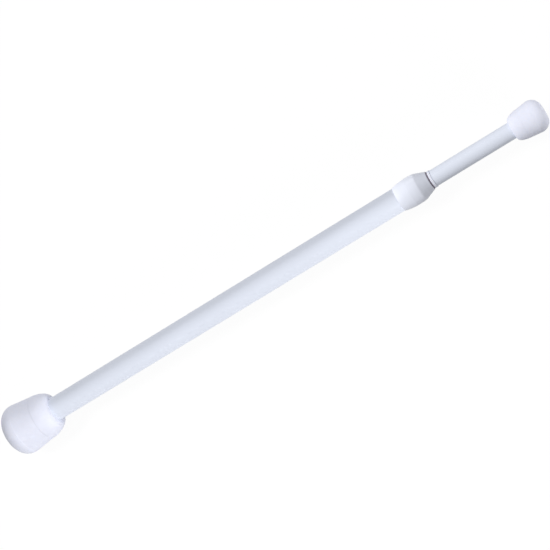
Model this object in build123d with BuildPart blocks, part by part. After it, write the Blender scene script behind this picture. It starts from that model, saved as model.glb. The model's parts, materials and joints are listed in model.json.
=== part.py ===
from build123d import *
import math
import os

# Spring-tension curtain rod with a twist lock, in millimetres.
# The rod's axis is X, and the origin is the centre of the outer foot's end face.

# Thick outer tube
outer_tube_od = 16.0
outer_tube_wall = 0.6
outer_tube_length = 306.2

# Thin inner tube
inner_tube_od = 11.0
inner_tube_wall = 0.5
inner_tube_shown = 57.0
tube_deburr = 0.1

# Rubber feet
foot_taper_deg = 7.2
outer_foot_length = 37.0
outer_foot_rim_r = 17.75
outer_foot_round_r = 9.5
outer_foot_shoulder_length = 11.0
outer_foot_pad = 15.0
outer_foot_shoulder_step = 0.15
outer_foot_lip = 1.8
outer_foot_crease_width = 0.8
outer_foot_crease_depth = 0.15
inner_foot_length = 22.5
inner_foot_rim_r = 10.75
inner_foot_round_r = 6.8
inner_foot_shoulder_length = 7.5
inner_foot_pad = 9.0
inner_foot_shoulder_step = 0.1
inner_foot_lip = 0.8
inner_foot_crease_width = 0.5
inner_foot_crease_depth = 0.1

# Plugs in the closed ends of the tubes
outer_plug_flange = 1.5
outer_plug_stem = 14.0
outer_plug_wall = 1.6
inner_plug_flange = 1.2
inner_plug_stem = 10.0
inner_plug_wall = 1.4
plug_chamfer = 0.6

# Collar on the open end of the outer tube
collar_length = 22.8
collar_socket_depth = 13.0
collar_bulge = 1.5
collar_peak_at = 9.0
collar_ridge_at = 15.5
collar_ridge_drop = 0.35
collar_ridge_round = 0.8
collar_edge = 0.3
collar_rim_wall = 0.35
collar_rim_round = 0.15

# Bearing bush in the collar
bush_sleeve_length = 18.0
bush_flange = 1.5
bush_nose_wall = 0.35
bush_groove_width = 1.0
bush_groove_depth = 0.15
bush_lip_length = 1.5
bush_chamfer = 0.2

# Tension spring, as installed
spring_wire = 1.2
spring_length = 44.0
spring_turns = 12
spring_seat_spigot = 4.0
spigot_chamfer = 0.5

# Guide in the hidden end of the inner tube
guide_flange = 3.0
guide_stem = 12.0

# Square shaft with an upset head and a turned tail
shaft_side = 3.5
shaft_head_r = 3.4
shaft_head_length = 2.0
shaft_head_round = 0.6
shaft_tail_r = 1.7
shaft_tail_proud = 1.0
stop_washer_thickness = 0.8

# Twist lock, with the free bore behind it
lock_room = 51.0
core_flange = 3.0
cam_ring_wall = 1.5
cam_journal_length = 12.0
cam_offset = 0.8
cam_play = 0.6
cam_ring_slit = 3.0
cam_washer_thickness = 1.5
shaft_clip_r = 3.8
shaft_clip_thickness = 1.2
shaft_clip_prongs = 4
shaft_clip_slot_length = 1.0
shaft_clip_slot_width = 0.6

# Clearances, each on one side
press_gap = 0.02
run_gap = 0.05
shaft_gap = 0.1
slide_gap = 0.3
end_play = 0.3
spring_bore_gap = 1.15
spring_side_gap = 0.45
spring_end_gap = 0.05
stop_washer_gap = 0.8
cam_washer_gap = 0.8

# Radii that follow from the tubes
outer_tube_r = outer_tube_od / 2
outer_bore_r = outer_tube_r - outer_tube_wall
inner_tube_r = inner_tube_od / 2
inner_bore_r = inner_tube_r - inner_tube_wall
running_r = outer_bore_r - slide_gap
collar_peak_r = outer_tube_r + collar_bulge
spring_mean_r = outer_bore_r - spring_bore_gap - spring_wire / 2
spigot_r = spring_mean_r - spring_wire / 2 - spring_side_gap
cam_journal_r = running_r - cam_ring_wall - cam_offset - cam_play
cam_washer_r = outer_bore_r - cam_washer_gap
stop_washer_r = inner_bore_r - stop_washer_gap
bush_bore_r = inner_tube_r + run_gap
bush_nose_r = bush_bore_r + bush_nose_wall
collar_mouth_r = bush_nose_r + run_gap

# Places along the outer tube
outer_tube_start = outer_foot_pad + outer_plug_flange
outer_tube_end = outer_tube_start + outer_tube_length
collar_start = outer_tube_end - collar_socket_depth
collar_end = collar_start + collar_length
bush_start = outer_tube_end - bush_sleeve_length
bush_lip_start = collar_end + bush_groove_width
bush_end = bush_lip_start + bush_lip_length

# Places along the lock, from its hidden end to the head of the shaft
shaft_tail_start = outer_tube_start + outer_plug_stem + lock_room
shaft_clip_start = shaft_tail_start + shaft_tail_proud
cam_washer_start = shaft_clip_start + shaft_clip_thickness
journal_start = cam_washer_start + cam_washer_thickness
core_start = journal_start + cam_journal_length
spring_start = core_start + core_flange
guide_start = spring_start + spring_length
inner_tube_start = guide_start + guide_flange
guide_end = inner_tube_start + guide_stem
shaft_head_start = guide_end + stop_washer_thickness

# Places at the shown end of the inner tube
inner_face = bush_end + inner_tube_shown + inner_foot_length
inner_plug_start = inner_face - inner_foot_pad
inner_tube_end = inner_plug_start - inner_plug_flange
inner_tube_length = inner_tube_end - inner_tube_start


def make_tube(start, length, od, wall):
    """A plain round tube along the rod, with its cut ends deburred."""
    with BuildPart() as tube:
        with BuildSketch(Plane.YZ.offset(start)):
            Circle(od / 2)
            Circle(od / 2 - wall, mode=Mode.SUBTRACT)
        extrude(amount=length)
        chamfer(tube.edges().filter_by(GeomType.CIRCLE), length=tube_deburr)
    return tube


def make_foot(face, length, rim_r, round_r, shoulder, step, pad, tube_r, lip, crease_width, crease_depth):
    """A soft foot: rounded end, cone, crease and round shoulder, with a blind socket for the tube.

    The face plane's x direction points from the end face towards the tube. The shoulder is the end of a
    quarter ellipse, which starts with the cone's slope.
    """
    taper = math.radians(foot_taper_deg)
    round_centre = rim_r - round_r
    round_end = (round_r * (1 + math.sin(taper)), round_centre + round_r * math.cos(taper))
    crease_end = length - shoulder
    crease_start = crease_end - crease_width
    crease_start_r = round_end[1] - (crease_start - round_end[0]) * math.tan(taper)
    shoulder_r = round_end[1] - (crease_end - round_end[0]) * math.tan(taper) + step
    crease_bottom = ((crease_start + crease_end) / 2, (crease_start_r + shoulder_r) / 2 - crease_depth)
    socket_r = tube_r + press_gap
    mouth_r = tube_r + lip
    shoulder_height = shoulder_r - mouth_r
    slope_share = math.tan(taper) * shoulder / shoulder_height
    hidden_share = slope_share / (1 - slope_share)
    ellipse_length = shoulder / (1 - hidden_share)
    ellipse_height = shoulder_height / math.sqrt(1 - hidden_share**2)
    shoulder_turn = math.degrees(math.acos(hidden_share))
    with BuildPart() as foot:
        with BuildSketch(face):
            with BuildLine():
                Line((0, 0), (0, round_centre))
                CenterArc((round_r, round_centre), round_r, 180, -(90 + foot_taper_deg))
                Line(round_end, (crease_start, crease_start_r))
                ThreePointArc((crease_start, crease_start_r), crease_bottom, (crease_end, shoulder_r))
                EllipticalCenterArc(
                    (length - ellipse_length, mouth_r),
                    ellipse_length,
                    ellipse_height,
                    arc_size=shoulder_turn,
                )
                Polyline((length, mouth_r), (length, socket_r), (pad, socket_r), (pad, 0), (0, 0))
            make_face()
        revolve(axis=Axis.X)
    return foot


def make_plug(face, tube_r, bore_r, flange, stem, wall):
    """A moulded plug: a flange against the tube's end and a hollow stem in its bore.

    The face plane lies on the flange's outer side, and its normal points into the tube.
    """
    with BuildPart() as plug:
        with BuildSketch(face):
            Circle(tube_r)
        extrude(amount=flange)
        with BuildSketch(face.offset(flange)):
            Circle(bore_r - press_gap)
        extrude(amount=stem)
        tip = plug.faces().sort_by(Axis(face.origin, face.z_dir))[-1]
        chamfer(tip.edges(), length=plug_chamfer)
        with BuildSketch(face.offset(flange)):
            Circle(bore_r - press_gap - wall)
        extrude(amount=stem, mode=Mode.SUBTRACT)
    return plug


# Tubes
outer_tube = make_tube(outer_tube_start, outer_tube_length, outer_tube_od, outer_tube_wall)
inner_tube = make_tube(inner_tube_start, inner_tube_length, inner_tube_od, inner_tube_wall)

# Feet
outer_foot = make_foot(
    Plane(origin=(0, 0, 0), x_dir=(1, 0, 0), z_dir=(0, 0, 1)),
    outer_foot_length,
    outer_foot_rim_r,
    outer_foot_round_r,
    outer_foot_shoulder_length,
    outer_foot_shoulder_step,
    outer_foot_pad,
    outer_tube_r,
    outer_foot_lip,
    outer_foot_crease_width,
    outer_foot_crease_depth,
)
inner_foot = make_foot(
    Plane(origin=(inner_face, 0, 0), x_dir=(-1, 0, 0), z_dir=(0, 0, 1)),
    inner_foot_length,
    inner_foot_rim_r,
    inner_foot_round_r,
    inner_foot_shoulder_length,
    inner_foot_shoulder_step,
    inner_foot_pad,
    inner_tube_r,
    inner_foot_lip,
    inner_foot_crease_width,
    inner_foot_crease_depth,
)

# Plugs under the feet
outer_tube_plug = make_plug(
    Plane.YZ.offset(outer_foot_pad),
    outer_tube_r,
    outer_bore_r,
    outer_plug_flange,
    outer_plug_stem,
    outer_plug_wall,
)
inner_tube_plug = make_plug(
    Plane(origin=(inner_plug_start, 0, 0), x_dir=(0, 1, 0), z_dir=(-1, 0, 0)),
    inner_tube_r,
    inner_bore_r,
    inner_plug_flange,
    inner_plug_stem,
    inner_plug_wall,
)

# Collar: a bulb over the tube's end that tapers from a ridge to its mouth, and traps the bush inside
with BuildPart() as collar:
    socket_r = outer_tube_r + press_gap
    shoulder_at = outer_tube_end + bush_flange
    collar_start_r = socket_r + collar_edge
    collar_ridge = collar_start + collar_ridge_at
    collar_ridge_r = collar_peak_r - collar_ridge_drop
    collar_rim_r = collar_mouth_r + collar_rim_wall
    with BuildSketch(Plane.XY):
        with BuildLine():
            Polyline(
                (collar_ridge, collar_ridge_r),
                (collar_end, collar_rim_r),
                (collar_end, collar_mouth_r),
                (shoulder_at, collar_mouth_r),
                (shoulder_at, socket_r),
                (collar_start, socket_r),
                (collar_start, collar_start_r),
            )
            ThreePointArc(
                (collar_start, collar_start_r),
                (collar_start + collar_peak_at, collar_peak_r),
                (collar_ridge, collar_ridge_r),
            )
        make_face()
    revolve(axis=Axis.X)
    rim = collar.edges().filter_by(GeomType.CIRCLE).group_by(Axis.X)[-1].sort_by(SortBy.RADIUS)[-1]
    fillet(rim, radius=collar_rim_round)
    ridge = collar.edges().filter_by_position(Axis.X, collar_ridge - press_gap, collar_ridge + press_gap)
    fillet(ridge, radius=collar_ridge_round)

# Bearing bush: sleeve in the tube, flange under the collar's shoulder, grooved nose in the mouth
with BuildPart() as collar_bush:
    with BuildSketch(Plane.YZ.offset(bush_start)):
        Circle(outer_bore_r - press_gap)
    extrude(amount=bush_sleeve_length)
    with BuildSketch(Plane.YZ.offset(outer_tube_end)):
        Circle(outer_tube_r)
    extrude(amount=bush_flange)
    with BuildSketch(Plane.YZ.offset(outer_tube_end)):
        Circle(bush_nose_r)
    extrude(amount=collar_end - outer_tube_end)
    with BuildSketch(Plane.YZ.offset(collar_end)):
        Circle(bush_nose_r - bush_groove_depth)
    extrude(amount=bush_groove_width)
    with BuildSketch(Plane.YZ.offset(bush_lip_start)):
        Circle(bush_nose_r)
    extrude(amount=bush_lip_length)
    chamfer(collar_bush.edges().group_by(Axis.X)[-1], length=bush_chamfer)
    with BuildSketch(Plane.YZ.offset(bush_start)):
        Circle(bush_bore_r)
    extrude(amount=bush_end - bush_start, mode=Mode.SUBTRACT)

# Guide: flange that runs in the outer tube, stem in the inner tube, spigot inside the spring
with BuildPart() as shaft_guide:
    with BuildSketch(Plane.YZ.offset(guide_start)):
        Circle(running_r)
    extrude(amount=guide_flange)
    with BuildSketch(Plane.YZ.offset(inner_tube_start)):
        Circle(inner_bore_r - press_gap)
    extrude(amount=guide_stem)
    with BuildSketch(Plane.YZ.offset(guide_start - spring_seat_spigot)):
        Circle(spigot_r)
    extrude(amount=spring_seat_spigot)
    chamfer(shaft_guide.edges().group_by(Axis.X)[0], length=spigot_chamfer)
    with BuildSketch(Plane.YZ.offset(guide_start - spring_seat_spigot)):
        Rectangle(shaft_side + 2 * shaft_gap, shaft_side + 2 * shaft_gap)
    extrude(amount=spring_seat_spigot + guide_flange + guide_stem, mode=Mode.SUBTRACT)

# Shaft: square bar with a round head inside the inner tube and a round tail at the lock
with BuildPart() as lock_shaft:
    with BuildSketch(Plane.YZ.offset(journal_start)):
        Rectangle(shaft_side, shaft_side)
    extrude(amount=shaft_head_start - journal_start)
    with BuildSketch(Plane.YZ.offset(shaft_tail_start)):
        Circle(shaft_tail_r)
    extrude(amount=journal_start - shaft_tail_start)
    with BuildSketch(Plane.YZ.offset(shaft_head_start)):
        Circle(shaft_head_r)
    extrude(amount=shaft_head_length)
    fillet(lock_shaft.edges().group_by(Axis.X)[-1], radius=shaft_head_round)

# Washer between the guide and the shaft's head
with BuildPart() as stop_washer:
    with BuildSketch(Plane.YZ.offset(guide_end)):
        Circle(stop_washer_r)
        Rectangle(shaft_side + 2 * press_gap, shaft_side + 2 * press_gap, mode=Mode.SUBTRACT)
    extrude(amount=stop_washer_thickness)

# Spring between the guide's flange and the core's flange
with BuildPart() as tension_spring:
    coil_start = spring_start + spring_end_gap + spring_wire / 2
    coil_height = spring_length - 2 * spring_end_gap - spring_wire
    with BuildLine() as coil:
        Helix(
            pitch=coil_height / spring_turns,
            height=coil_height,
            radius=spring_mean_r,
            center=(coil_start, 0, 0),
            direction=(1, 0, 0),
        )
    with BuildSketch(Plane(origin=coil.line @ 0, z_dir=coil.line % 0)):
        Circle(spring_wire / 2)
    sweep(path=coil.line, is_frenet=True)

# Cam core: spring seat with its spigot on one side and the eccentric journal on the other
with BuildPart() as cam_core:
    with BuildSketch(Plane.YZ.offset(core_start)):
        Circle(running_r)
    extrude(amount=core_flange)
    with BuildSketch(Plane.YZ.offset(spring_start)):
        Circle(spigot_r)
    extrude(amount=spring_seat_spigot)
    chamfer(cam_core.edges().group_by(Axis.X)[-1], length=spigot_chamfer)
    with BuildSketch(Plane.YZ.offset(journal_start)):
        with Locations((0, cam_offset)):
            Circle(cam_journal_r)
    extrude(amount=cam_journal_length)
    with BuildSketch(Plane.YZ.offset(journal_start)):
        Rectangle(shaft_side + 2 * press_gap, shaft_side + 2 * press_gap)
    extrude(amount=cam_journal_length + core_flange + spring_seat_spigot, mode=Mode.SUBTRACT)

# Cam ring: floats on the journal with play all round, split at its thin side
with BuildPart() as cam_ring:
    with BuildSketch(Plane.YZ.offset(journal_start + end_play)):
        Circle(running_r)
        with Locations((0, cam_offset)):
            Circle(cam_journal_r + cam_play, mode=Mode.SUBTRACT)
        with Locations((0, cam_offset + cam_journal_r)):
            Rectangle(cam_ring_slit, 2 * cam_journal_r, mode=Mode.SUBTRACT)
    extrude(amount=cam_journal_length - 2 * end_play)

# Washer that keeps the ring on the journal
with BuildPart() as cam_washer:
    with BuildSketch(Plane.YZ.offset(cam_washer_start)):
        Circle(cam_washer_r)
        Circle(shaft_tail_r + press_gap, mode=Mode.SUBTRACT)
    extrude(amount=cam_washer_thickness)

# Push-on clip behind the washer, slotted into prongs that bite on the shaft's tail
with BuildPart() as shaft_clip:
    with BuildSketch(Plane.YZ.offset(shaft_clip_start)):
        Circle(shaft_clip_r)
        Circle(shaft_tail_r + press_gap, mode=Mode.SUBTRACT)
        with PolarLocations(shaft_tail_r, shaft_clip_prongs):
            Rectangle(2 * shaft_clip_slot_length, shaft_clip_slot_width, mode=Mode.SUBTRACT)
    extrude(amount=shaft_clip_thickness)

pieces = {
    "outer_tube": outer_tube,
    "outer_tube_plug": outer_tube_plug,
    "outer_foot": outer_foot,
    "collar": collar,
    "collar_bush": collar_bush,
    "inner_tube": inner_tube,
    "inner_tube_plug": inner_tube_plug,
    "inner_foot": inner_foot,
    "shaft_guide": shaft_guide,
    "lock_shaft": lock_shaft,
    "stop_washer": stop_washer,
    "tension_spring": tension_spring,
    "cam_core": cam_core,
    "cam_ring": cam_ring,
    "cam_washer": cam_washer,
    "shaft_clip": shaft_clip,
}
os.makedirs("parts", exist_ok=True)
for name, piece in pieces.items():
    piece.part.label = name
    export_step(piece.part, f"parts/{name}.step")
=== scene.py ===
import json
import math

import bmesh
import bpy
from mathutils import Matrix, Vector, noise


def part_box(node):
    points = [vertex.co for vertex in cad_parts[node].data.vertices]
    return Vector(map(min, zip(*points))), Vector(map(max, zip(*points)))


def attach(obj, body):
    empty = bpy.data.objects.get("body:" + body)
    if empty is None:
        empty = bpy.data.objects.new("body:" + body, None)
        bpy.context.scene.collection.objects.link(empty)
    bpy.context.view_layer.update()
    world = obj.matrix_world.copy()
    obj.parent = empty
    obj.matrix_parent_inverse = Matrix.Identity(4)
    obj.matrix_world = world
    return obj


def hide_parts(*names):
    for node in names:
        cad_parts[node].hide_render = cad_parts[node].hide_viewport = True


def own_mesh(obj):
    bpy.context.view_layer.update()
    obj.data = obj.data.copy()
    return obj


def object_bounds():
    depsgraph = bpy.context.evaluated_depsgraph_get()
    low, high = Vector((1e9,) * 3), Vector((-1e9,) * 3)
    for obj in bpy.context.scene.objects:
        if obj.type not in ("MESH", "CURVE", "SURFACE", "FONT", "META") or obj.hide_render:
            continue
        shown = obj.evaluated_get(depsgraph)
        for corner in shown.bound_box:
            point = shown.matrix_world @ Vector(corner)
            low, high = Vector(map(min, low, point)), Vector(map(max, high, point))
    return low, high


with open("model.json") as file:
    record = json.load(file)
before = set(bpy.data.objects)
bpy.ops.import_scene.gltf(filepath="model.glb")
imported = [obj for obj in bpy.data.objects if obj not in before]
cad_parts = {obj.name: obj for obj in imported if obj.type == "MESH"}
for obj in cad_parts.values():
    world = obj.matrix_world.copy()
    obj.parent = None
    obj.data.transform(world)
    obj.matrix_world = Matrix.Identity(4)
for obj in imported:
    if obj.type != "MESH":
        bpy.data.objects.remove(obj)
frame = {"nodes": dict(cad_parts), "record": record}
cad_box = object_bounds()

# Spring-tension curtain rod, in metres. The rod's axis is X, from the large foot to the small one.

# Camera: the photograph's frame, its focal length in pixels, and where it looks from
PHOTO_PX = 550
FOCAL_PX = 1600
SENSOR_MM = 36.0
LOOK_AT_X = 0.2155
CAMERA_DISTANCE = 1.026
CAMERA_LEAN = math.radians(15.0)
CAMERA_RISE = math.radians(65.0)
CAMERA_ROLL = math.radians(31.4)

# Studio: the light that falls on the object, and the white that the camera sees
WHITE = (1.0, 1.0, 1.0, 1.0)
AMBIENT = 0.48
FLOOR_DROP = 0.0002
FLOOR_SIZE = 8.0
FLOOR_BOUNCE = (0.4, 0.4, 0.4, 1.0)
FLOOR_SEEN = (0.95, 0.95, 0.95, 1.0)
FLOOR_GLOW_SHARE = 0.95

# Soft lamps: each aims at a place on the rod, leans from there towards the small foot, and is
# turned round the rod from the camera's side up over the back
SOFTBOX_SIZE = 0.8
SOFTBOX_DISTANCE = 2.4
LAMPS = {
    "front_light": {"aim_x": 0.15, "lean_deg": 25.0, "turn_deg": -50.0, "watts": 33.5},
    "back_light": {"aim_x": 0.15, "lean_deg": 32.0, "turn_deg": 51.0, "watts": 18.5},
    "collar_light": {"aim_x": 0.32, "lean_deg": -56.0, "turn_deg": 14.0, "watts": 49.0},
    "rim_light": {"aim_x": 0.32, "lean_deg": 0.0, "turn_deg": 82.0, "watts": 10.0},
    "top_light": {"aim_x": 0.38, "lean_deg": -34.0, "turn_deg": 30.0, "watts": 36.5},
    "end_light": {"aim_x": 0.40, "lean_deg": 82.0, "turn_deg": 10.0, "watts": 22.0},
}

# Mesh fineness
TURN_STEPS = 192
TUBE_RING_STEP = 0.003
ARC_STEPS = 16
FACE_RINGS = 6
PARTING_STEPS = 8
CONE_STEPS = 12
CREASE_STEPS = 24
TAPER_STEPS = 24
RIM_STEPS = 8
SMALL_ROUND_STEPS = 6
SMOOTH_BELOW = math.radians(32.0)
NEARLY_ZERO = 1e-7

# Tubes. The steps round a tube are finer at its seam, over a reach counted in even steps
OUTER_WALL = 0.0006
INNER_WALL = 0.0005
TUBE_DEBURR = 0.0001
SEAM_ANGLE = math.radians(-40.0)
SEAM_WIDTH = 0.0005
SEAM_DEPTH = 0.00005
SEAM_FINE_STEPS = 10
SEAM_FINE_REACH = 2.0
SEAM_EVEN_FROM = 2.2

# Feet
FOOT_TAPER = math.radians(7.2)
LARGE_FOOT = {
    "round_r": 0.0095,
    "shoulder": 0.011,
    "step": 0.00015,
    "lip": 0.0018,
    "crease": 0.0008,
}
SMALL_FOOT = {
    "round_r": 0.0068,
    "shoulder": 0.0075,
    "step": 0.0001,
    "lip": 0.0008,
    "crease": 0.0005,
}
CREASE_SINK_SHARE = 0.05
CREASE_LEAD_SHARE = 1.0
SHOULDER_RISE_SHARE = 1.5
GATE_R = 0.0012
GATE_DEPTH = 0.00015
PARTING_WIDTH = 0.0004
PARTING_HEIGHT = 0.00005
RUBBER_WAVE_LENGTH = 0.009
RUBBER_WAVE_HEIGHT = 0.00004
PRESS_GAP = 0.00002

# Collar and its bush
COLLAR_BULGE = 0.0015
COLLAR_PEAK_AT = 0.009
COLLAR_RIDGE_AT = 0.0155
COLLAR_RIDGE_DROP = 0.00035
COLLAR_RIDGE_ROUND = 0.0008
COLLAR_EDGE = 0.0003
COLLAR_RIM_WALL = 0.00035
COLLAR_RIM_ROUND = 0.00015
BUSH_FLANGE = 0.0015
BUSH_NOSE_WALL = 0.00035
BUSH_GROOVE_WIDTH = 0.001
BUSH_GROOVE_DEPTH = 0.00015
BUSH_ROUND = 0.0001
# Colour of the painted shade in the bush's groove, a dark line in place of the groove's shadow
GROOVE_PAINTED_SHADE = (0.30, 0.27, 0.33)
RUN_GAP = 0.00005

# Spring
SPRING_WIRE_R = 0.0006
SPRING_TURNS = 12
SPRING_END_TURNS = 1
SPRING_GROUND_SHARE = 0.5
SPRING_STEPS_PER_TURN = 72
SPRING_WIRE_STEPS = 20

# Most of the noise in the materials lies between these two values
NOISE_LOW = 0.3
NOISE_HIGH = 0.7

base_colours = {entry["slot"]: entry["base_color"] for entry in frame["record"]["materials"]}


def reach(node):
    """First and last place of a CAD node along the rod, and its largest radius."""
    low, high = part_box(node)
    return low.x, high.x, high.z


def spread(first, last, count):
    """Evenly spaced values from first to last."""
    return [first + (last - first) * step / count for step in range(count + 1)]


def arc(centre, radii, first_deg, last_deg, steps):
    """Points on an elliptical arc in the half plane of place and radius."""
    angles = [math.radians(angle) for angle in spread(first_deg, last_deg, steps)]
    return [
        (centre[0] + radii[0] * math.cos(angle), centre[1] + radii[1] * math.sin(angle))
        for angle in angles
    ]


def round_corner(centre, radius, first_deg, last_deg, steps):
    """Points on a circular arc in the half plane of place and radius."""
    return arc(centre, (radius, radius), first_deg, last_deg, steps)


def arc_through(first, middle, last, steps):
    """Points on the circular arc through three points."""
    (ax, ay), (bx, by), (cx, cy) = first, middle, last
    double_area = 2 * (ax * (by - cy) + bx * (cy - ay) + cx * (ay - by))
    a2 = ax * ax + ay * ay
    b2 = bx * bx + by * by
    c2 = cx * cx + cy * cy
    centre_x = (a2 * (by - cy) + b2 * (cy - ay) + c2 * (ay - by)) / double_area
    centre_y = (a2 * (cx - bx) + b2 * (ax - cx) + c2 * (bx - ax)) / double_area
    radius = math.hypot(ax - centre_x, ay - centre_y)
    first_deg = math.degrees(math.atan2(ay - centre_y, ax - centre_x))
    last_deg = math.degrees(math.atan2(cy - centre_y, cx - centre_x))
    return round_corner((centre_x, centre_y), radius, first_deg, last_deg, steps)


def bend(first, corner, last, steps):
    """Points on the smooth bend that leaves first towards the corner and reaches last from it."""
    points = []
    for t in spread(0, 1, steps):
        shares = ((1 - t) ** 2, 2 * t * (1 - t), t ** 2)
        weighed = list(zip(shares, (first, corner, last)))
        points.append(tuple(sum(share * point[i] for share, point in weighed) for i in (0, 1)))
    return points


def bump_shape(distance, width):
    """A smooth bump: 1 in the middle, 0 from half the width on."""
    share = min(1.0, abs(distance) / (width / 2))
    return 0.5 * (1 + math.cos(math.pi * share))


def bridge(first, second):
    """Faces between two rings of vertices, either of which may be a single pole."""
    if len(first) == 1 and len(second) == 1:
        return []
    count = max(len(first), len(second))
    faces = []
    for step in range(count):
        after = (step + 1) % count
        if len(first) == 1:
            faces.append((first[0], second[after], second[step]))
        elif len(second) == 1:
            faces.append((first[step], first[after], second[0]))
        else:
            faces.append((first[step], first[after], second[after], second[step]))
    return faces


def finish_mesh(name, points, faces):
    """An object from points and faces, smooth but for real edges, its faces turned outwards."""
    mesh = bpy.data.meshes.new(name)
    mesh.from_pydata(points, [], faces)
    mesh.validate()
    turned = bmesh.new()
    turned.from_mesh(mesh)
    bmesh.ops.recalc_face_normals(turned, faces=turned.faces)
    turned.to_mesh(mesh)
    turned.free()
    mesh.shade_smooth()
    mesh.set_sharp_from_angle(angle=SMOOTH_BELOW)
    piece = bpy.data.objects.new(name, mesh)
    bpy.context.scene.collection.objects.link(piece)
    return piece


def lathe(name, profile, closed, angles=None, relief=None):
    """A piece turned about the rod's axis from points of place and radius.

    A closed profile ends where it starts, and an open one has its ends on the axis. The relief
    gives how far a point of the surface stands out at a place, radius and angle.
    """
    angles = angles or spread(0, 2 * math.pi, TURN_STEPS)[:-1]
    points = []
    rings = []
    for place, radius in profile:
        first = len(points)
        if radius < NEARLY_ZERO:
            points.append((place, 0, 0))
        else:
            for angle in angles:
                r = radius + (relief(place, radius, angle) if relief else 0)
                points.append((place, r * math.cos(angle), r * math.sin(angle)))
        rings.append(range(first, len(points)))
    followers = rings[1:] + rings[:1] if closed else rings[1:]
    faces = [face for ring, follower in zip(rings, followers) for face in bridge(ring, follower)]
    return finish_mesh(name, points, faces)


def dress(piece, node, body, slot, *more_materials):
    """Puts a new piece in the place of a CAD node, with the finish of its slot."""
    for name in (slot, *more_materials):
        piece.data.materials.append(materials[name])
    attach(piece, body)
    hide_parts(node)
    return piece


# Node materials


def add(tree, kind, inputs=None, **settings):
    """A shader node with its settings and its inputs, which are values or other nodes' outputs."""
    node = tree.nodes.new(kind)
    for key, value in settings.items():
        setattr(node, key, value)
    for socket, value in (inputs or {}).items():
        if isinstance(value, bpy.types.NodeSocket):
            tree.links.new(value, node.inputs[socket])
        else:
            node.inputs[socket].default_value = value
    return node


def new_material(name, **constants):
    """A new material, its node tree, its shader and the object's own coordinates."""
    material = bpy.data.materials.new(name)
    material.use_nodes = True
    tree = material.node_tree
    shader = tree.nodes["Principled BSDF"]
    for socket, value in constants.items():
        shader.inputs[socket.replace("_", " ")].default_value = value
    place = add(tree, "ShaderNodeTexCoord").outputs["Object"]
    return material, tree, shader, place


def stretched(tree, place, along=1.0, across=1.0):
    """Coordinates scaled along the rod and across it, for a grain with a direction."""
    inputs = {"Vector": place, "Scale": (along, across, across)}
    return add(tree, "ShaderNodeMapping", inputs).outputs["Vector"]


def grain(tree, place, per_metre, detail=2.0, roughness=0.5):
    """Noise with so many grains in a metre."""
    inputs = {"Vector": place, "Scale": per_metre, "Detail": detail, "Roughness": roughness}
    return add(tree, "ShaderNodeTexNoise", inputs).outputs["Fac"]


def tones(tree, factor, colour, darkest, lightest):
    """The colour made darker and lighter by a noise."""
    ramp = add(tree, "ShaderNodeValToRGB", {"Fac": factor})
    first, last = ramp.color_ramp.elements
    for element, share in ((first, darkest), (last, lightest)):
        element.color = [min(1.0, channel * share) for channel in colour] + [1.0]
    first.position = NOISE_LOW
    last.position = NOISE_HIGH
    return ramp.outputs["Color"]


def ranged(tree, factor, low, high):
    """A noise turned into a value from low to high."""
    inputs = {
        "Value": factor,
        "From Min": NOISE_LOW,
        "From Max": NOISE_HIGH,
        "To Min": low,
        "To Max": high,
    }
    return add(tree, "ShaderNodeMapRange", inputs).outputs["Result"]


def bumped(tree, shader, *layers):
    """Stacks bump layers, each a height with its depth in metres, on the shader's normal."""
    normal = None
    for height, depth in layers:
        inputs = {"Height": height, "Distance": depth, "Strength": 1.0}
        if normal:
            inputs["Normal"] = normal
        normal = add(tree, "ShaderNodeBump", inputs).outputs["Normal"]
    tree.links.new(normal, shader.inputs["Normal"])


def finish_material(tree, shader, colour, roughness):
    """Links a varying colour and roughness to the shader."""
    tree.links.new(colour, shader.inputs["Base Color"])
    tree.links.new(roughness, shader.inputs["Roughness"])


def coated_steel():
    """White powder coat: slow drift of tone, orange peel, and fine rub marks along the rod."""
    name = "coated_steel"
    material, tree, shader, place = new_material(name, IOR=1.5, Specular_IOR_Level=0.2)
    drift = grain(tree, stretched(tree, place, along=0.25), per_metre=90.0)
    rub_place = stretched(tree, place, along=0.02)
    rubs = grain(tree, rub_place, per_metre=2600.0, detail=3.0, roughness=0.6)
    peel = grain(tree, place, per_metre=750.0, detail=1.0)
    speck = grain(tree, place, per_metre=5200.0, detail=1.0)
    colour = tones(tree, drift, base_colours[name], darkest=0.985, lightest=1.012)
    finish_material(tree, shader, colour, ranged(tree, rubs, low=0.40, high=0.50))
    bumped(tree, shader, (peel, 0.000012), (speck, 0.000002))
    return material


def foot_rubber():
    """Soft white rubber: a satin skin with fine moulded grain and faint clouding."""
    name = "foot_rubber"
    material, tree, shader, place = new_material(
        name,
        IOR=1.45,
        Specular_IOR_Level=0.15,
        Subsurface_Weight=0.12,
        Subsurface_Radius=(0.0012, 0.0011, 0.0010),
        Subsurface_Scale=1.0,
    )
    cloud = grain(tree, place, per_metre=140.0, detail=3.0)
    skin = grain(tree, place, per_metre=2800.0, detail=3.0, roughness=0.6)
    dimple = grain(tree, place, per_metre=520.0, detail=1.0)
    colour = tones(tree, cloud, base_colours[name], darkest=0.975, lightest=1.015)
    finish_material(tree, shader, colour, ranged(tree, skin, low=0.50, high=0.64))
    bumped(tree, shader, (dimple, 0.000015), (skin, 0.000008))
    return material


def collar_plastic():
    """White moulded plastic, satin, with faint flow marks."""
    name = "collar_plastic"
    material, tree, shader, place = new_material(name, IOR=1.49, Specular_IOR_Level=0.25)
    flow = grain(tree, stretched(tree, place, along=1.6, across=0.7), per_metre=160.0)
    skin = grain(tree, place, per_metre=3400.0)
    colour = tones(tree, flow, base_colours[name], darkest=0.98, lightest=1.012)
    finish_material(tree, shader, colour, ranged(tree, skin, low=0.30, high=0.40))
    bumped(tree, shader, (flow, 0.00001), (skin, 0.000004))
    return material


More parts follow.
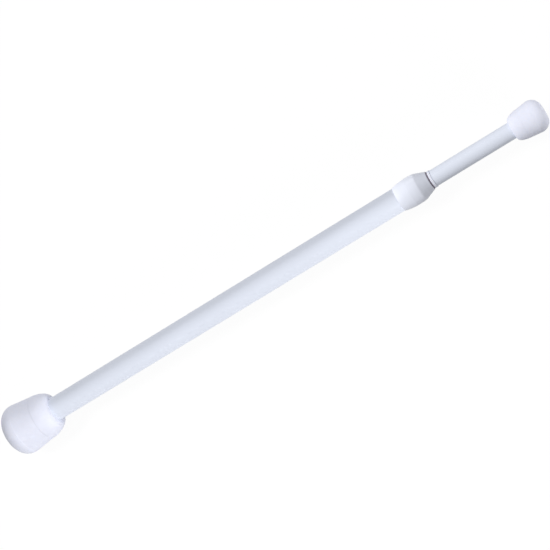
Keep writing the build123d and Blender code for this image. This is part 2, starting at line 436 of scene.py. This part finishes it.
def bush_nylon():
    """White nylon: milky, slightly see-through and matt."""
    name = "bush_nylon"
    material, tree, shader, place = new_material(
        name,
        IOR=1.53,
        Subsurface_Weight=0.25,
        Subsurface_Radius=(0.0010, 0.0009, 0.0008),
        Subsurface_Scale=1.0,
    )
    cloud = grain(tree, place, per_metre=300.0, detail=3.0)
    skin = grain(tree, place, per_metre=3000.0)
    colour = tones(tree, cloud, base_colours[name], darkest=0.96, lightest=1.03)
    finish_material(tree, shader, colour, ranged(tree, skin, low=0.42, high=0.55))
    bumped(tree, shader, (skin, 0.000005))
    return material


def groove_painted_shade():
    """Painted shade in the groove at the collar's mouth: a dark, uneven and dull colour that stands
    in for the groove's shadow.
    """
    material, tree, shader, place = new_material("groove_painted_shade", IOR=1.45, Specular_IOR_Level=0.3)
    patch = grain(tree, place, per_metre=700.0, detail=3.0, roughness=0.6)
    fine_speckle = grain(tree, place, per_metre=5000.0)
    colour = tones(tree, patch, GROOVE_PAINTED_SHADE, darkest=0.8, lightest=1.25)
    finish_material(tree, shader, colour, ranged(tree, fine_speckle, low=0.6, high=0.85))
    bumped(tree, shader, (fine_speckle, 0.00001))
    return material


def lock_plastic():
    """Pale grey moulded plastic, matt, with flow clouds and a fine spark-eroded grain."""
    name = "lock_plastic"
    material, tree, shader, place = new_material(name, IOR=1.47)
    cloud = grain(tree, place, per_metre=220.0, detail=3.0)
    skin = grain(tree, place, per_metre=4200.0, roughness=0.6)
    colour = tones(tree, cloud, base_colours[name], darkest=0.94, lightest=1.04)
    finish_material(tree, shader, colour, ranged(tree, skin, low=0.45, high=0.62))
    bumped(tree, shader, (skin, 0.00001))
    return material


def zinc_steel():
    """Zinc plate over drawn steel: lines along the rod and a cloudy passivated tone."""
    name = "zinc_steel"
    material, tree, shader, place = new_material(name, Metallic=1.0)
    line_place = stretched(tree, place, along=0.03)
    drawn = grain(tree, line_place, per_metre=5200.0, detail=3.0, roughness=0.6)
    cloud = grain(tree, place, per_metre=260.0, detail=3.0)
    colour = tones(tree, cloud, base_colours[name], darkest=0.85, lightest=1.12)
    finish_material(tree, shader, colour, ranged(tree, drawn, low=0.28, high=0.46))
    bumped(tree, shader, (drawn, 0.000008))
    return material


def spring_steel():
    """Oiled spring wire: dark, with fine drawing scratches and darker patches."""
    name = "spring_steel"
    material, tree, shader, place = new_material(name, Metallic=1.0)
    patch = grain(tree, place, per_metre=420.0, detail=3.0, roughness=0.6)
    scratch = grain(tree, stretched(tree, place, across=0.15), per_metre=6500.0)
    colour = tones(tree, patch, base_colours[name], darkest=0.72, lightest=1.15)
    finish_material(tree, shader, colour, ranged(tree, scratch, low=0.24, high=0.40))
    bumped(tree, shader, (scratch, 0.000006))
    return material


materials = {
    make.__name__: make()
    for make in (
        coated_steel,
        foot_rubber,
        collar_plastic,
        bush_nylon,
        groove_painted_shade,
        lock_plastic,
        zinc_steel,
        spring_steel,
    )
}


# Pieces


def seam_angles():
    """Angles round a tube, closer together at its seam."""
    even = spread(0, 2 * math.pi, TURN_STEPS)[:-1]
    gap = even[1]
    seam = SEAM_ANGLE % (2 * math.pi)
    fine = spread(seam - SEAM_FINE_REACH * gap, seam + SEAM_FINE_REACH * gap, SEAM_FINE_STEPS)
    return sorted([angle for angle in even if abs(angle - seam) > SEAM_EVEN_FROM * gap] + fine)


def make_tube(name, wall):
    """A welded tube: deburred ends and a faint sunk seam along its outer side."""
    start, end, outer_r = reach(name)
    bore_r = outer_r - wall
    deburred_start = start + TUBE_DEBURR
    deburred_end = end - TUBE_DEBURR
    rings = round((end - start) / TUBE_RING_STEP)
    profile = [(start, outer_r - TUBE_DEBURR)]
    profile += [(place, outer_r) for place in spread(deburred_start, deburred_end, rings)]
    profile += [(end, outer_r - TUBE_DEBURR), (end, bore_r + TUBE_DEBURR)]
    profile += [(deburred_end, bore_r), (deburred_start, bore_r), (start, bore_r + TUBE_DEBURR)]

    def seam(place, radius, angle):
        off = (angle - SEAM_ANGLE + math.pi) % (2 * math.pi) - math.pi
        return -SEAM_DEPTH * bump_shape(off * radius, SEAM_WIDTH) if radius == outer_r else 0

    return lathe(name + "_shell", profile, closed=True, angles=seam_angles(), relief=seam)


def make_foot(node, plug, values, outwards):
    """A moulded rubber foot on a tube's plugged end, facing outwards along the rod, -1 or 1.

    The outline runs from the gate mark in the end face over the round end, the parting line, the
    cone, the crease and the round shoulder to the mouth, and back through the socket.
    """
    first, last, rim_r = reach(node)
    length = last - first
    face = first if outwards < 0 else last
    plug_first, plug_last, tube_r = reach(plug)
    pad = plug_first - first if outwards < 0 else last - plug_last
    round_r, shoulder, crease = values["round_r"], values["shoulder"], values["crease"]
    socket_r = tube_r + PRESS_GAP
    mouth_r = tube_r + values["lip"]
    taper_deg = math.degrees(FOOT_TAPER)
    slope = math.tan(FOOT_TAPER)
    round_centre = (round_r, rim_r - round_r)
    cone_start = round_r * (1 + math.sin(FOOT_TAPER))
    cone_start_r = round_centre[1] + round_r * math.cos(FOOT_TAPER)
    parting_end = cone_start + PARTING_WIDTH
    crease_end = length - shoulder
    crease_middle = crease_end - crease / 2
    crease_start = crease_middle - CREASE_LEAD_SHARE * crease
    rise_end = crease_middle + SHOULDER_RISE_SHARE * crease

    def cone_r(along):
        return cone_start_r - (along - cone_start) * slope

    # The shoulder is part of an ellipse that leaves the cone with the cone's own slope
    shoulder_height = cone_r(crease_end) + values["step"] - mouth_r
    slope_share = slope * shoulder / shoulder_height
    hidden_share = slope_share / (1 - slope_share)
    ellipse_length = shoulder / (1 - hidden_share)
    ellipse_height = shoulder_height / math.sqrt(1 - hidden_share ** 2)
    ellipse_start = length - ellipse_length

    def shoulder_r(along):
        share = (along - ellipse_start) / ellipse_length
        return mouth_r + ellipse_height * math.sqrt(1 - share * share)

    outline = [(GATE_DEPTH, 0), (GATE_DEPTH, GATE_R), (0, GATE_R + GATE_DEPTH)]
    outline += [(0, r) for r in spread(GATE_R + 3 * GATE_DEPTH, round_centre[1], FACE_RINGS)]
    outline += round_corner(round_centre, round_r, 180, 90 - taper_deg, 3 * ARC_STEPS)[1:]
    for along in spread(cone_start, parting_end, PARTING_STEPS)[1:]:
        lift = PARTING_HEIGHT * bump_shape(along - cone_start - PARTING_WIDTH / 2, PARTING_WIDTH)
        outline.append((along, cone_r(along) + lift))
    cone = spread(parting_end, crease_start, CONE_STEPS)[1:]
    outline += [(along, cone_r(along)) for along in cone]
    for along in spread(crease_start, rise_end, CREASE_STEPS)[1:]:
        sink = CREASE_SINK_SHARE * crease * bump_shape(along - crease_middle, 2 * crease)
        risen = 1 - bump_shape(max(0.0, along - crease_start), 2 * (rise_end - crease_start))
        outline.append((along, cone_r(along) * (1 - risen) + shoulder_r(along) * risen - sink))
    rise_deg = math.degrees(math.acos((rise_end - ellipse_start) / ellipse_length))
    shoulder_radii = (ellipse_length, ellipse_height)
    outline += arc((ellipse_start, mouth_r), shoulder_radii, rise_deg, 0, 2 * ARC_STEPS)[1:]
    outline += [(length, mouth_r - PRESS_GAP), (length, socket_r + PRESS_GAP)]
    outline += [(length - PRESS_GAP, socket_r), (pad, socket_r), (pad, 0)]
    profile = [(face - outwards * along, r) for along, r in outline]

    def unevenness(place, radius, angle):
        if abs(place - face) < NEARLY_ZERO:
            return 0
        share = min(1.0, max(0.0, (radius - mouth_r) / (rim_r - mouth_r)))
        spot = Vector((place, radius * math.cos(angle), radius * math.sin(angle)))
        return RUBBER_WAVE_HEIGHT * share * (noise.noise(spot / RUBBER_WAVE_LENGTH) - 1)

    return lathe(node + "_moulding", profile, closed=False, relief=unevenness)


def make_collar():
    """The bulb over the tube's end.

    It has a thin edge, a parting line at its widest place, a ridge, a taper and a rounded mouth.
    """
    start, end = reach("collar")[:2]
    tube_end, tube_r = reach("outer_tube")[1:]
    mouth_r = reach("inner_tube")[2] + RUN_GAP + BUSH_NOSE_WALL + RUN_GAP
    rim_r = mouth_r + COLLAR_RIM_WALL
    socket_r = tube_r + PRESS_GAP
    seat = tube_end + BUSH_FLANGE
    edge = (start, socket_r + COLLAR_EDGE)
    peak = (start + COLLAR_PEAK_AT, tube_r + COLLAR_BULGE)
    ridge = (start + COLLAR_RIDGE_AT, peak[1] - COLLAR_RIDGE_DROP)
    slope = (rim_r - ridge[1]) / (end - ridge[0])
    rounded_end = end - COLLAR_RIM_ROUND

    def taper_r(place):
        return ridge[1] + slope * (place - ridge[0])

    profile = []
    for place, radius in arc_through(edge, peak, ridge, 6 * ARC_STEPS):
        if place < ridge[0] - COLLAR_RIDGE_ROUND / 2:
            lift = PARTING_HEIGHT * bump_shape(place - peak[0], 2 * PARTING_WIDTH)
            profile.append((place, radius + lift))
    taper_start = ridge[0] + COLLAR_RIDGE_ROUND / 2
    taper_start_r = ridge[1] + slope * COLLAR_RIDGE_ROUND / 2
    profile += bend(profile[-1], ridge, (taper_start, taper_start_r), ARC_STEPS)[1:]
    taper = spread(taper_start, rounded_end, TAPER_STEPS)[1:]
    profile += [(place, taper_r(place)) for place in taper]
    rim_outer = (end, rim_r - COLLAR_RIM_ROUND)
    profile += bend(profile[-1], (end, rim_r), rim_outer, RIM_STEPS)[1:]
    rim_inner = (end, mouth_r + COLLAR_RIM_ROUND)
    profile += bend(rim_inner, (end, mouth_r), (rounded_end, mouth_r), SMALL_ROUND_STEPS)
    profile += [(seat, mouth_r), (seat, socket_r)]
    profile += [(start + PRESS_GAP, socket_r), (start, socket_r + PRESS_GAP)]
    return lathe("collar_moulding", profile, closed=True)


def make_bush():
    """The bearing bush: a sleeve in the tube, a flange, and a nose with a groove and a rounded lip.

    The groove has a second material, a dark painted shade that stands in for the groove's shadow.
    """
    start, end, flange_r = reach("collar_bush")
    tube_end, tube_r = reach("outer_tube")[1:]
    collar_end = reach("collar")[1]
    bore_r = reach("inner_tube")[2] + RUN_GAP
    sleeve_r = tube_r - OUTER_WALL - PRESS_GAP
    nose_r = bore_r + BUSH_NOSE_WALL
    groove_r = nose_r - BUSH_GROOVE_DEPTH
    flange_end = tube_end + BUSH_FLANGE
    lip_start = collar_end + BUSH_GROOVE_WIDTH
    small_round = BUSH_ROUND / 2
    back_centre = (lip_start + small_round, nose_r - small_round)
    front_centre = (end - BUSH_ROUND, nose_r - BUSH_ROUND)
    bore_centre = (end - small_round, bore_r + small_round)
    profile = [(start, bore_r + BUSH_ROUND), (start, sleeve_r - BUSH_ROUND)]
    profile += [(start + BUSH_ROUND, sleeve_r), (tube_end, sleeve_r), (tube_end, flange_r)]
    profile += [(flange_end, flange_r), (flange_end, nose_r), (collar_end, nose_r)]
    profile += [(collar_end, groove_r), (lip_start, groove_r)]
    profile += round_corner(back_centre, small_round, 180, 90, SMALL_ROUND_STEPS)
    profile += round_corner(front_centre, BUSH_ROUND, 90, 0, RIM_STEPS)
    profile += round_corner(bore_centre, small_round, 0, -90, SMALL_ROUND_STEPS)
    profile += [(start + BUSH_ROUND, bore_r)]
    bush = lathe("bush_moulding", profile, closed=True)
    # Faces in the groove take the painted shade
    for face in bush.data.polygons:
        in_groove = collar_end - PRESS_GAP < face.center.x < lip_start + PRESS_GAP
        face.material_index = 1 if in_groove else 0
    return bush


def make_spring():
    """The coiled wire, with its end turns closed and ground flat."""
    start, end, outer_r = reach("tension_spring")
    mean_r = outer_r - SPRING_WIRE_R
    wire_d = 2 * SPRING_WIRE_R
    ground = SPRING_GROUND_SHARE * SPRING_WIRE_R
    open_turns = SPRING_TURNS - 2 * SPRING_END_TURNS
    climb = end - start - 2 * ground - 2 * SPRING_END_TURNS * wire_d
    points = []
    rings = []
    for step in range(SPRING_TURNS * SPRING_STEPS_PER_TURN + 1):
        turn = step / SPRING_STEPS_PER_TURN
        open_share = min(1.0, max(0.0, (turn - SPRING_END_TURNS) / open_turns))
        far_turns = max(0.0, turn - open_turns - SPRING_END_TURNS)
        closed_turns = min(turn, SPRING_END_TURNS) + far_turns
        middle = start + ground + closed_turns * wire_d + open_share * climb
        angle = 2 * math.pi * turn
        first = len(points)
        for around in spread(0, 2 * math.pi, SPRING_WIRE_STEPS)[:-1]:
            r = mean_r + SPRING_WIRE_R * math.cos(around)
            place = min(end, max(start, middle + SPRING_WIRE_R * math.sin(around)))
            points.append((place, r * math.cos(angle), r * math.sin(angle)))
        rings.append(range(first, len(points)))
    faces = [face for ring, follower in zip(rings, rings[1:]) for face in bridge(ring, follower)]
    faces += [tuple(rings[0]), tuple(reversed(rings[-1]))]
    return finish_mesh("spring_coil", points, faces)


thick_tube = dress(make_tube("outer_tube", OUTER_WALL), "outer_tube", "outer_rod", "coated_steel")
thin_tube = dress(make_tube("inner_tube", INNER_WALL), "inner_tube", "inner_rod", "coated_steel")
large_moulding = make_foot("outer_foot", "outer_tube_plug", LARGE_FOOT, outwards=-1)
large_foot = dress(large_moulding, "outer_foot", "outer_rod", "foot_rubber")
small_moulding = make_foot("inner_foot", "inner_tube_plug", SMALL_FOOT, outwards=1)
small_foot = dress(small_moulding, "inner_foot", "inner_rod", "foot_rubber")
collar = dress(make_collar(), "collar", "outer_rod", "collar_plastic")
# The bush's groove is painted dark as shade
bush = dress(make_bush(), "collar_bush", "outer_rod", "bush_nylon", "groove_painted_shade")
spring = dress(make_spring(), "tension_spring", "lock_core", "spring_steel")
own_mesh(spring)

# Each solid takes the finish of its slot, because the lock's other pieces are shown as their solids
for subpart in frame["record"]["subparts"]:
    node = frame["nodes"][subpart["node"]]
    node.data.materials.clear()
    node.data.materials.append(materials[subpart["material_slot"]])


# Studio


def larger(tree, first, second):
    """The larger of two values."""
    inputs = {0: first, 1: second}
    return add(tree, "ShaderNodeMath", inputs, operation="MAXIMUM").outputs["Value"]


def shown_rays(tree):
    """1 for rays that show the surroundings: to the camera, in gloss and through glass."""
    path = add(tree, "ShaderNodeLightPath").outputs
    seen = larger(tree, path["Is Camera Ray"], path["Is Glossy Ray"])
    return larger(tree, seen, path["Is Transmission Ray"])


def mixed(tree, factor, first, second):
    """A mix of two shader nodes, by a factor from 0 for the first to 1 for the second."""
    inputs = {0: factor, 1: first.outputs[0], 2: second.outputs[0]}
    return add(tree, "ShaderNodeMixShader", inputs)


def make_world():
    """Even ambient light, and plain white behind everything."""
    world = bpy.data.worlds.new("studio")
    bpy.context.scene.world = world
    world.use_nodes = True
    tree = world.node_tree
    tree.nodes.clear()
    ambient = add(tree, "ShaderNodeBackground", {"Color": WHITE, "Strength": AMBIENT})
    backdrop = add(tree, "ShaderNodeBackground", {"Color": WHITE, "Strength": 1.0})
    mix = mixed(tree, shown_rays(tree), ambient, backdrop)
    add(tree, "ShaderNodeOutputWorld", {"Surface": mix.outputs[0]})


def make_floor():
    """A plain white floor under the large foot, which keeps a pale shadow."""
    material = bpy.data.materials.new("floor_white")
    material.use_nodes = True
    tree = material.node_tree
    tree.nodes.clear()
    bounce = add(tree, "ShaderNodeBsdfDiffuse", {"Color": FLOOR_BOUNCE})
    matt = add(tree, "ShaderNodeBsdfDiffuse", {"Color": FLOOR_SEEN})
    glow = add(tree, "ShaderNodeEmission", {"Color": WHITE, "Strength": 1.0})
    seen = mixed(tree, FLOOR_GLOW_SHARE, matt, glow)
    mix = mixed(tree, shown_rays(tree), bounce, seen)
    add(tree, "ShaderNodeOutputMaterial", {"Surface": mix.outputs[0]})
    half = FLOOR_SIZE / 2
    level = cad_box[0].z - FLOOR_DROP
    square = ((-half, -half), (half, -half), (half, half), (-half, half))
    corners = [(LOOK_AT_X + x, y, level) for x, y in square]
    mesh = bpy.data.meshes.new("floor")
    mesh.from_pydata(corners, [], [(0, 1, 2, 3)])
    mesh.materials.append(material)
    floor = bpy.data.objects.new("floor", mesh)
    bpy.context.scene.collection.objects.link(floor)
    return floor


def away(lean, rise):
    """The direction away from the rod that leans to the small foot and rises from the front."""
    across = math.cos(lean)
    return Vector((math.sin(lean), -across * math.cos(rise), across * math.sin(rise)))


def make_softbox(name, lit, aim_x, lean_deg, turn_deg, watts):
    """A square studio lamp, flagged off all but the objects that it lights."""
    lamp = bpy.data.lights.new(name, "AREA")
    lamp.shape = "SQUARE"
    lamp.size = SOFTBOX_SIZE
    lamp.energy = watts
    holder = bpy.data.objects.new(name, lamp)
    towards = away(math.radians(lean_deg), CAMERA_RISE + math.radians(turn_deg))
    holder.location = Vector((aim_x, 0, 0)) + towards * SOFTBOX_DISTANCE
    holder.rotation_mode = "QUATERNION"
    holder.rotation_quaternion = towards.to_track_quat("Z", "Y")
    bpy.context.scene.collection.objects.link(holder)
    group = bpy.data.collections.new(name + "_lights")
    for piece in lit:
        group.objects.link(piece)
    holder.light_linking.receiver_collection = group


def make_camera():
    """The photograph's camera: above the rod, leant to the small foot, rolled so the rod climbs."""
    data = bpy.data.cameras.new("photo_camera")
    data.sensor_width = SENSOR_MM
    data.lens = SENSOR_MM * FOCAL_PX / PHOTO_PX
    back = away(CAMERA_LEAN, CAMERA_RISE)
    side = math.sin(CAMERA_LEAN)
    along = Vector(
        (math.cos(CAMERA_LEAN), side * math.cos(CAMERA_RISE), -side * math.sin(CAMERA_RISE))
    )
    across = back.cross(along)
    right = along * math.cos(CAMERA_ROLL) - across * math.sin(CAMERA_ROLL)
    up = along * math.sin(CAMERA_ROLL) + across * math.cos(CAMERA_ROLL)
    camera = bpy.data.objects.new("photo_camera", data)
    turn = Matrix((right, up, back)).transposed().to_4x4()
    eye = Vector((LOOK_AT_X, 0, 0)) + back * CAMERA_DISTANCE
    camera.matrix_world = Matrix.Translation(eye) @ turn
    bpy.context.scene.collection.objects.link(camera)
    bpy.context.scene.camera = camera


make_world()
floor = make_floor()
lit_pieces = {
    "front_light": (thick_tube, large_foot, floor),
    "back_light": (thick_tube, large_foot),
    "collar_light": (collar, bush),
    "rim_light": (collar, bush),
    "top_light": (thin_tube, small_foot, floor),
    "end_light": (small_foot,),
}
for name, lit in lit_pieces.items():
    make_softbox(name, lit, **LAMPS[name])
make_camera()
bpy.context.scene.view_settings.view_transform = "Standard"
